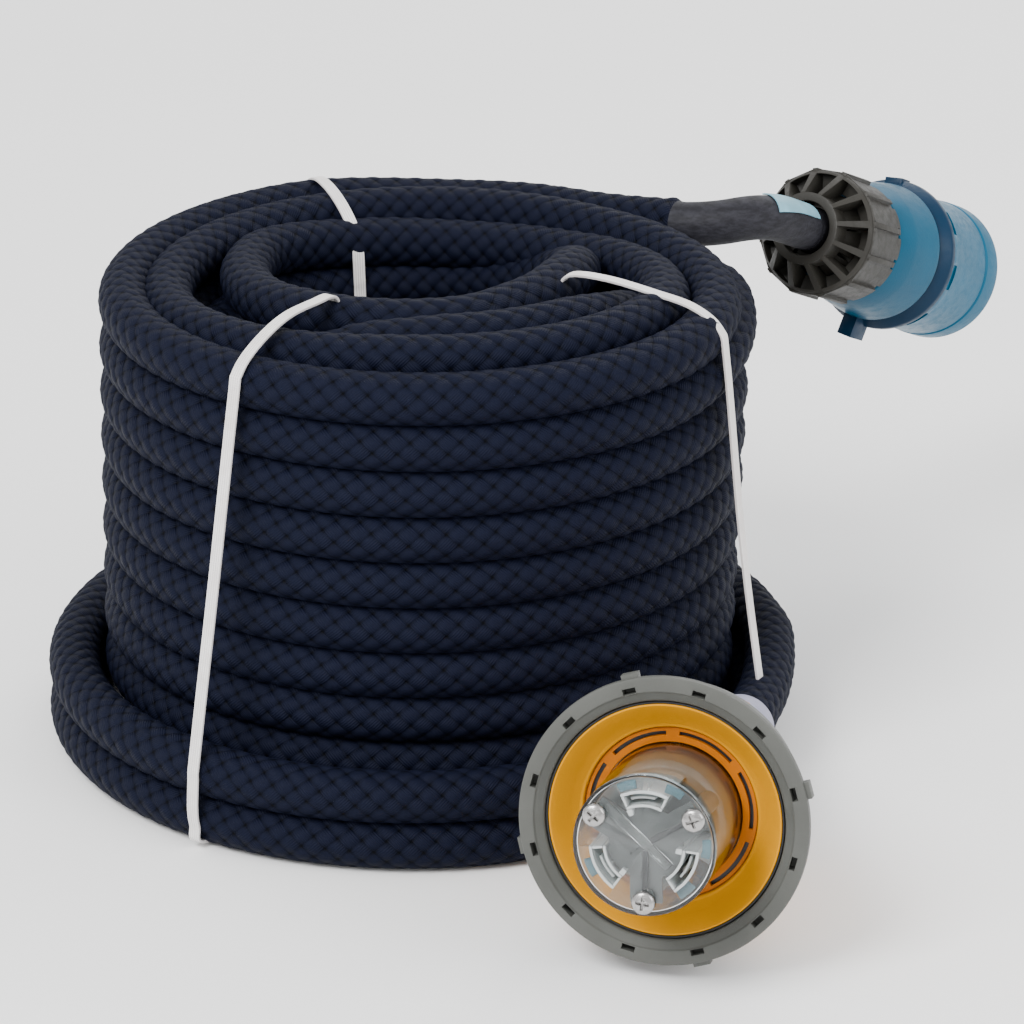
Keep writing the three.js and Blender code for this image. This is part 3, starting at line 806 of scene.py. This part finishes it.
def make_cord():
    route, fine = cord_route()
    centres, along = even_out(route, fine)
    for _ in range(2):
        centres[1:-1] = 0.25 * centres[:-2] + 0.5 * centres[1:-1] + 0.25 * centres[2:]
    points = cord_surface(centres, along).reshape(-1, 3)
    mesh = bpy.data.meshes.new("shore_cord")
    mesh.from_pydata((points * MM).tolist(), [], tube_faces(len(centres), CORD_SIDES))
    set_weave(mesh, "CORNER", weave_corners(along))
    mesh.materials.append(LOOKS["braid"])
    mesh.materials.append(LOOKS["cable_rubber"])
    bare = np.repeat(along[:-1] < BRAID_FROM + 0.3, CORD_SIDES).astype(np.int32)
    mesh.polygons.foreach_set("material_index", np.concatenate([bare, [1, 0]]))
    mesh.polygons.foreach_set("use_smooth", [True] * len(mesh.polygons))
    mesh.transform(ROW)
    cord = new_object("shore_cord", mesh)
    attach(cord, "cord_set")
    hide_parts("cord_coil", "cord_base_turn", "cord_tail_connector", "bare_cable")
    return centres


# ---- ties ----

TIE_W, TIE_T = 3.8, 0.9
TIE_SECTION = [
    (-0.5, -0.28), (-0.44, -0.5), (0.44, -0.5), (0.5, -0.28),
    (0.5, 0.28), (0.44, 0.5), (-0.44, 0.5), (-0.5, 0.28),
]
TIE_LOW = 0.7                  # height of the elastic where it runs under the coil
TIE_INSIDE = [(55.0, TIE_LOW), (52.2, 20.0), (52.2, 60.0), (52.8, 100.0)]   # and up inside the hole


def tie_loop(azimuth, outer, shift=-0.5):
    """A closed loop round the coil's section: (radius, height) points, put in an upright plane."""
    a = math.radians(azimuth)
    loop = [*outer, *TIE_INSIDE]
    return np.array([(r * math.cos(a) + shift, r * math.sin(a), z) for r, z in loop])


def make_tie(node, route):
    """Flat elastic swept round a closed route that stays in one upright plane."""
    dense = through([*route, route[0]], 1.2)[:-1]
    dense[:, 2] = np.maximum(dense[:, 2], 0.5 * TIE_T + 0.1)
    ahead = unit(np.roll(dense, -1, 0) - np.roll(dense, 1, 0))
    flat = np.cross(route[2] - route[0], route[len(route) // 2] - route[0])
    flat[2] = 0.0
    flat = unit(flat)
    out = np.cross(ahead, flat)
    points = np.array([dense + flat * (w * TIE_W) + out * (t * TIE_T) for w, t in TIE_SECTION])
    points = points.transpose(1, 0, 2)
    rings, sides = points.shape[:2]
    mesh = bpy.data.meshes.new(node)
    mesh.from_pydata((points.reshape(-1, 3) * MM).tolist(), [], ring_faces(rings, sides, closed=True))
    values = np.zeros((rings, sides, 3), np.float32)
    values[..., 0] = length_along(dense)[:, None]
    values[..., 1] = np.array([w for w, _ in TIE_SECTION])[None]
    set_weave(mesh, "POINT", values)
    mesh.transform(ROW)
    band = new_object(f"{node}_band", mesh)
    finish_piece(band, "tie_elastic", "cord_set", (node,), 0)


def make_ties():
    left = tie_loop(-124, [
        (50.5, 146.0), (53.5, 151.8), (62.0, 152.6), (77.0, 152.4), (91.0, 148.4), (100.4, 142.4),
        (103.2, 133.0), (114.8, 77.0), (124.6, 31.0), (126.0, 22.0), (125.8, 8.0), (118.0, TIE_LOW),
    ], 3.4)
    right = tie_loop(-25.5, [
        (46.0, 146.0), (50.0, 150.6), (62.0, 151.0), (77.0, 149.0), (90.0, 146.4), (98.6, 140.5),
        (101.0, 130.0), (106.6, 77.0), (113.2, 31.0), (115.4, 22.0), (115.2, 8.0), (108.0, TIE_LOW),
    ])
    back = tie_loop(112, [
        (54.0, 122.0), (56.0, 134.5), (63.0, 140.8), (77.0, 145.2), (91.0, 145.4), (98.6, 140.0),
        (100.2, 130.0), (107.6, 60.0), (114.6, 31.0), (116.2, 22.0), (116.0, 8.0), (108.0, TIE_LOW),
    ])
    make_tie("tie_left", left)
    make_tie("tie_right", right)
    make_tie("tie_back", back)


# ---- the connector ----

# Heights along the connector: 0 at the ring's front edge, less than 0 behind it.
RING_R, RING_BACK_R, RING_OPENING_R, RING_DEPTH = 41.6, 35.8, 34.4, 24.0
HOUSING_SPLIT, COVER_END, BOOT_START, BOOT_END = -45.0, -88.0, -88.3, -118.6
INSERT_R, INSERT_FRONT, INSERT_BACK = 20.2, 26.7, -15.0
BLADE_R, FACE_SCREW_R = 13.2, 16.1
BLADE_ANGLES, SCREW_ANGLES = (90, 210, 330), (30, 150, 270)
POLES = ("line", "neutral", "earth")


def pan_screw(head_r, head_h):
    """A pan head above z = 0, on a plain shank."""
    body = [
        (0, -9), (1.5, -9), (1.5, 0), (head_r, 0), (head_r, head_h * 0.45),
        (head_r * 0.86, head_h * 0.8), (head_r * 0.5, head_h), (0, head_h * 1.02),
    ]
    return lathe(rounded(body, 0.25, 2), 40)


def cross_recess(head_r, head_h, turn):
    """Two crossed blocks to cut from a screw head."""
    size = (head_r * 1.15, head_r * 0.26, head_h * 1.5)
    return [block(size, (0, 0, head_h), turn + a) for a in (0, 90)]


def make_ring():
    """The knurled locking ring, and the seal just inside it."""
    opening = RING_OPENING_R
    ring = rounded([
        (31.2, -RING_DEPTH), (RING_BACK_R, -RING_DEPTH), (RING_BACK_R + 2.4, -12), (RING_R - 1.6, -6),
        (RING_R, -3), (RING_R, 0), (opening + 3.0, 0), (opening + 2.6, -0.5),
        (opening, -1.8), (opening, -RING_DEPTH + 4), (31.2, -RING_DEPTH + 4),
    ], 0.7)
    lugs = [block((3.4, 4.8, 3.6), (RING_R - 0.5, 0, -3.4), a) for a in (15, 104, 193, 285)]
    slots = [block((1.7, 3.9, 9.0), (opening + 3.9, 0, 0), 15 + 30 * i) for i in range(12)]
    part("locking_ring_body", lathe(ring, 144), CONNECTOR, "ring_plastic",
         body="ring", replaces=("locking_ring",), cut=slots, join=lugs, bevel=0.22)
    gasket = rounded([(33.5, -9), (34.15, -9), (34.15, -2.4), (33.5, -2.4)], 0.3)
    part("ring_seal", lathe(gasket, 120), CONNECTOR, "seal_rubber",
         replaces=("ring_gasket",), bevel=0)


def make_bowl():
    """The yellow bowl; the collar round the clear insert, in a darker orange as painted shade; and a dark
    well under the collar's slots, as painted shade.
    """
    bowl = rounded([
        (22.3, HOUSING_SPLIT), (28.2, HOUSING_SPLIT), (30.6, -31), (30.6, -19.6), (33.4, -19.6),
        (33.4, -2.4), (32.9, -2.3), (31.0, -4.6), (28.0, -8.2), (26.0, -10.0), (25.2, -10.2),
        (24.9, -11.0), (24.8, -15.0), (22.3, -15.0),
    ], 0.8)
    part("connector_housing_shell", lathe(bowl, 144), CONNECTOR, "housing_plastic",
         replaces=("connector_housing",), bevel=0)
    # painted shade: the collar's darker orange stands for the shade on this wall
    collar = rounded([(20.5, -12.8), (24.75, -12.8), (24.75, -11.4), (20.5, -11.4)], 0.25)
    gaps = [sector(22.5, 23.7, 12 + 51.4 * i, 21.0, -14.0, -11.0) for i in range(7)]
    part("insert_collar", lathe(collar, 144), CONNECTOR, "collar_painted_shade",
         cut=gaps, bevel=0.12)
    # painted shade: a dark ring just under the collar, so that its slots read dark
    well = rounded([(22.2, -14.9), (24.7, -14.9), (24.7, -13.2), (22.2, -13.2)], 0.1)
    part("slot_shade_well", lathe(well, 96), CONNECTOR, "dark_carrier_and_well_shade", bevel=0)


def make_insert():
    """The clear cup and the dark carrier inside it."""
    r, front = INSERT_R, INSERT_FRONT
    cup = rounded([
        (0, front - 2.0), (r - 1.0, front - 2.0), (r - 1.0, INSERT_BACK), (r + 1.8, INSERT_BACK),
        (r + 1.8, INSERT_BACK + 2), (r, INSERT_BACK + 2), (r, front), (0, front),
    ], 0.6)
    hole = lathe([(0, front - 4), (1.8, front - 4), (1.8, front + 1), (0, front + 1)], 24)
    openings = [sector(BLADE_R - 1.5, BLADE_R + 1.5, a, 25, front - 4, front + 1) for a in BLADE_ANGLES]
    openings += [moved(hole, polar(FACE_SCREW_R, a)) for a in SCREW_ANGLES]
    part("socket_face_clear", lathe(cup, 120), CONNECTOR, "clear_insert",
         replaces=("socket_face",), cut=openings, bevel=0.15)
    core = rounded([(0, INSERT_BACK), (17.9, INSERT_BACK), (17.9, 2.0), (16.4, 4.0), (0, 4.0)], 0.5)
    chambers = [sector(BLADE_R - 1.9, BLADE_R + 1.9, a, 27, INSERT_BACK - 1, 5) for a in BLADE_ANGLES]
    part("contact_carrier_core", lathe(core, 96), CONNECTOR, "smoky_carrier",
         replaces=("contact_carrier",), cut=chambers, bevel=0.2)


def make_blades():
    """A clear frame and a tinned contact at each of the three curved openings."""
    low, high = 4.2, INSERT_FRONT + 0.12
    for i, (pole, a) in enumerate(zip(POLES, BLADE_ANGLES)):
        walls = merged(
            sector(14.75, 15.6, a, 26, low, high), sector(10.9, 11.7, a, 26, low, high),
            sector(11.8, 14.65, a - 24.6, 1.5, low, high, 2),
            sector(11.8, 14.65, a + 24.6, 1.5, low, high, 2),
            sector(9.0, 10.8, a + 23, 4.4, low, high, 2),
            sector(12.9, 13.6, a + 3, 15, low, high - 2.0),
        )
        part(f"blade_frame_{i + 1}", walls, CONNECTOR, "clear_frame", bevel=0.12)
        contact = sector(BLADE_R - 0.9, BLADE_R + 0.9, a, 20, INSERT_BACK - 9, INSERT_FRONT - 12.5)
        part(f"blade_contact_{pole}", contact, CONNECTOR, "tinned",
             replaces=(f"socket_contact_{pole}",), bevel=0.2)


def make_face_details():
    """What shows behind the clear face: latches, the carrier plate, the channel and its ribs."""
    front = INSERT_FRONT
    for i, a in enumerate((108, 62, -2, -48, 206)):
        pad = sector(15.9, 18.4, a, 9.0, front - 3.4, front - 2.5, 6)
        part(f"blade_latch_{i + 1}", pad, CONNECTOR, "teal_paint", bevel=0.4)
    arms = [block((17.0, 9.0, 1.6), (8.5, 0, front - 4.6), a) for a in SCREW_ANGLES]
    plate = rounded([(0, front - 5.4), (10.4, front - 5.4), (10.4, front - 3.8), (0, front - 3.8)], 0.3)
    part("carrier_plate", lathe(plate, 72), CONNECTOR, "grey_carrier",
         join=arms, bevel=0.3)
    channel = block((24.6, 2.8, 1.1), (3.2, 0, front - 2.8), 137)
    part("face_channel", channel, CONNECTOR, "clear_insert", bevel=0.3)
    for i, a in enumerate((30, 270)):
        rib = block((12.6, 1.7, 1.4), (8.0, 0, front - 3.0), a)
        part(f"face_rib_{i + 1}", rib, CONNECTOR, "dark_carrier_and_well_shade", bevel=0.2)


def make_face_screws():
    head_r, head_h, head_z = 3.35, 2.0, INSERT_FRONT + 0.3
    post_end = INSERT_FRONT - 2.9
    post = lathe(rounded([(0, 4.3), (2.9, 4.3), (2.5, post_end), (0, post_end)], 0.3), 32)
    for i, a in enumerate(SCREW_ANGLES):
        part(f"screw_post_{i + 1}", moved(post, polar(FACE_SCREW_R - 0.8, a)), CONNECTOR,
             "smoky_carrier", bevel=0)
        at = polar(FACE_SCREW_R, a, head_z)
        screw = moved(pan_screw(head_r, head_h), at)
        recess = [moved(c, at) for c in cross_recess(head_r, head_h, 20 + 31 * i)]
        part(f"face_screw_head_{i + 1}", screw, CONNECTOR, "steel",
             replaces=(f"face_screw_{i + 1}",), cut=recess, bevel=0.1)


def make_rear_cover():
    cover = rounded([
        (8.2, COVER_END), (14.6, COVER_END), (17.6, -79), (23.4, -57), (28.2, HOUSING_SPLIT - 0.3),
        (22.3, HOUSING_SPLIT - 0.3), (17, -72), (14, -83), (8.2, -83),
    ], 1.2)
    ribs = [block((1.6, 2.6, 7.0), (25.6, 0, -52.0), 30 * i) for i in range(12)]
    part("rear_cover_shell", lathe(cover, 120), CONNECTOR, "housing_plastic",
         replaces=("rear_cover",), join=[merged(*ribs)], bevel=0.3)


def make_boot():
    """A ribbed rubber boot that narrows towards the cord."""
    boot = [(7.3, BOOT_END), (9.6, BOOT_END), (10.3, -117.8)]
    for i in range(6):
        z = -114.2 + 3.35 * i
        r = 10.4 + 0.56 * i
        boot += [(r, z), (r + 0.1, z + 1.7), (r - 0.7, z + 1.9), (r - 0.7, z + 2.6)]
    boot += [(14.4, -93.2), (14.9, -92.0), (14.9, BOOT_START), (7.3, BOOT_START)]
    part("boot_body", lathe(rounded(boot, 0.5), 96), CONNECTOR, "boot_rubber",
         replaces=("strain_relief_boot",), bevel=0)


# ---- the plug ----

# Heights along the plug: 0 at the shroud's open end.
SHROUD_R, SHROUD_DEPTH, FLANGE_AT, FLANGE_T, FLANGE_R = 22.0, 30.0, 37.0, 6.0, 24.5
NUT_AT, NUT_R, NUT_CONE, PLUG_END, NUT_RIBS = 67.0, 19.9, 88.0, 97.0, 12
PIN_CIRCLE_R, PIN_R = 8.7, 2.5


def make_shroud():
    """The plug's open sleeve, with eight small windows near the flange."""
    shroud = rounded([
        (SHROUD_R - 2.6, 0), (SHROUD_R + 0.1, 0), (SHROUD_R + 0.5, 1.2), (SHROUD_R + 0.5, 8.6),
        (SHROUD_R + 0.05, 9.0), (SHROUD_R + 0.05, 9.5), (SHROUD_R + 0.25, 9.9),
        (SHROUD_R + 0.1, FLANGE_AT - 4), (FLANGE_R - 0.9, FLANGE_AT - 4), (FLANGE_R - 0.7, FLANGE_AT - 0.2),
        (19.0, FLANGE_AT - 0.2), (15.7, FLANGE_AT - 0.2), (15.7, SHROUD_DEPTH),
        (SHROUD_R - 2.6, SHROUD_DEPTH),
    ], 0.35)
    middle = (FLANGE_R - 0.9, 0, FLANGE_AT - 2.3)
    windows = [block((1.6, 8.4, 3.0), middle, 22.5 + 45 * i) for i in range(8)]
    part("plug_shroud", lathe(shroud, 144), PLUG, "shroud_plastic",
         replaces=("plug_shell",), cut=windows, bevel=0.15)


def make_flange():
    """The flange, in a darker blue for painted shade, with its latch lug and its key."""
    flange = rounded([
        (17.4, FLANGE_AT), (FLANGE_R, FLANGE_AT), (FLANGE_R, FLANGE_AT + 2.4),
        (FLANGE_R - 3.0, FLANGE_AT + FLANGE_T), (17.4, FLANGE_AT + FLANGE_T),
    ], 0.5)
    lug = block((7.4, 5.0, 9.0), (FLANGE_R + 0.9, 0, FLANGE_AT + 4.5), -114)
    key = block((1.9, 6.0, 6.0), (FLANGE_R - 0.5, 0, FLANGE_AT + 0.9), 80)
    part("plug_flange", lathe(flange, 144), PLUG, "flange_painted_shade",
         join=[lug, key], bevel=0.35)


def make_plug_rear():
    start = FLANGE_AT + FLANGE_T + 1.3
    rear = rounded([
        (17.3, start), (22.4, start), (22.4, start + 1.5), (20.8, start + 14), (18.9, NUT_AT - 0.3),
        (15.4, NUT_AT - 0.3), (15.4, 80), (10.5, 80), (10.5, 68.6), (8.4, 68.6), (8.4, 66.2), (17.3, 60),
    ], 0.8)
    part("plug_rear_body", lathe(rear, 144), PLUG, "plug_plastic",
         replaces=("plug_rear_shell",), bevel=0)


def make_pins():
    pin = lathe(rounded([(0, 3), (1.2, 3), (PIN_R, 4.8), (PIN_R, 51), (0, 51)], 0.5), 40)
    for i, pole in enumerate(POLES):
        part(f"plug_pin_body_{pole}", moved(pin, polar(PIN_CIRCLE_R, 30 + 120 * i)), PLUG,
             "brass", replaces=(f"plug_pin_{pole}",), bevel=0)


def make_gland_nut():
    """The ribbed nut, with a pocket in its cone under each rib's gap."""
    body = rounded([
        (16.0, NUT_AT), (NUT_R - 0.3, NUT_AT), (NUT_R - 0.1, NUT_CONE), (11.6, PLUG_END), (8.7, PLUG_END),
        (8.6, 93.5), (10.4, 92.4), (14.4, 83.8), (16.0, 83),
    ], 0.5)
    rib_length, rib_middle = NUT_CONE - NUT_AT - 3.4, (NUT_CONE + NUT_AT) / 2 + 1.4
    pockets, notches, ribs = [], [], []
    for i in range(NUT_RIBS):
        a = 17 + 360 / NUT_RIBS * i
        pockets.append(sector(11.5, 18.7, a, 11.4, 84.6, 99, 4))
        notches.append(block((5.4, 3.4, 4.0), (NUT_R + 0.7, 0, NUT_AT + 0.4), a - 15))
        ribs.append(block((2.0, 1.7, rib_length), (NUT_R - 0.1, 0, rib_middle), a - 15))
        ribs.append(block((1.2, 8.6, 0.9), (NUT_R - 0.5, 0, NUT_CONE - 0.8), a))
    part("gland_nut_body", lathe(body, 144), PLUG, "nut_plastic", body="nut",
         replaces=("gland_nut",), cut=[*pockets, *notches], join=[merged(*ribs)], bevel=0.22)


def make_cable_top_highlight(centres):
    """A pale patch of painted highlight, shaped as a thin sleeve over the upper side of the bare cable,
    close to the nut.
    """
    ahead = unit(np.gradient(centres[:60], axis=0))
    places = range(2, 17)                              # rings of the cord, counted from the nut
    angles = np.radians(np.linspace(28, 116, 19))      # how far round the cable it reaches
    outline = [(CABLE_R + 0.62, t) for t in angles] + [(CABLE_R + 0.28, t) for t in angles[::-1]]
    rows = []
    for i in places:
        side = unit(np.cross((0, 0, 1), ahead[i]))
        up = np.cross(ahead[i], side)
        rows.append([centres[i] + r * (side * math.cos(t) + up * math.sin(t)) for r, t in outline])
    shape = np.array(rows).reshape(-1, 3), tube_faces(len(places), len(outline))
    piece = new_object("cable_top_highlight", to_mesh("cable_top_highlight", shape, ROW))
    finish_piece(piece, "marker", "cord_set", ("cable_marker",), 0)


# ---- CAD nodes that stay, and the floor ----

def dress_cad_nodes():
    """A procedural material on every CAD node that still shows."""
    chosen = {
        "clamp_plastic": ["cord_clamp_upper", "cord_clamp_lower"],
        "steel": ["clamp_screw_left", "clamp_screw_right"],
        "cable_rubber": ["connector_cable_end", "plug_cable_end"],
        "seal_rubber": ["shell_gasket", "gland_seal"],
        "dark_carrier_and_well_shade": ["pin_carrier"],
        "nut_plastic": ["gland_claw"],
    }
    for pole in POLES:
        chosen["steel"] += [f"socket_screw_{pole}", f"plug_screw_{pole}"]
        chosen[f"core_{pole}"] = [f"connector_core_{pole}", f"plug_core_{pole}"]
    for look, nodes in chosen.items():
        for node in nodes:
            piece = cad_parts[node]
            piece.data.materials.clear()
            piece.data.materials.append(LOOKS[look])


FLOOR_HALF, FLOOR_Z = 6.0, -0.0004         # metres


def make_floor():
    """Plain pale ground."""
    corners = [(x * FLOOR_HALF, y * FLOOR_HALF, FLOOR_Z) for x, y in ((-1, -1), (1, -1), (1, 1), (-1, 1))]
    mesh = bpy.data.meshes.new("floor")
    mesh.from_pydata(corners, [], [(0, 1, 2, 3)])
    floor = new_object("floor", mesh)
    finish = Finish("floor", Roughness=0.9)
    cloud = finish.noise(3.0).between(0.2, 0.8)
    finish.feed("Base Color", finish.blend(cloud, (0.90, 0.90, 0.90), (0.93, 0.93, 0.93)))
    mesh.materials.append(finish.material)


make_camera()
make_light()
make_floor()
cord_centres = make_cord()
make_ties()
make_ring()
make_bowl()
make_insert()
make_blades()
make_face_details()
make_face_screws()
make_rear_cover()
make_boot()
make_shroud()
make_flange()
make_plug_rear()
make_pins()
make_gland_nut()
make_cable_top_highlight(cord_centres)
dress_cad_nodes()
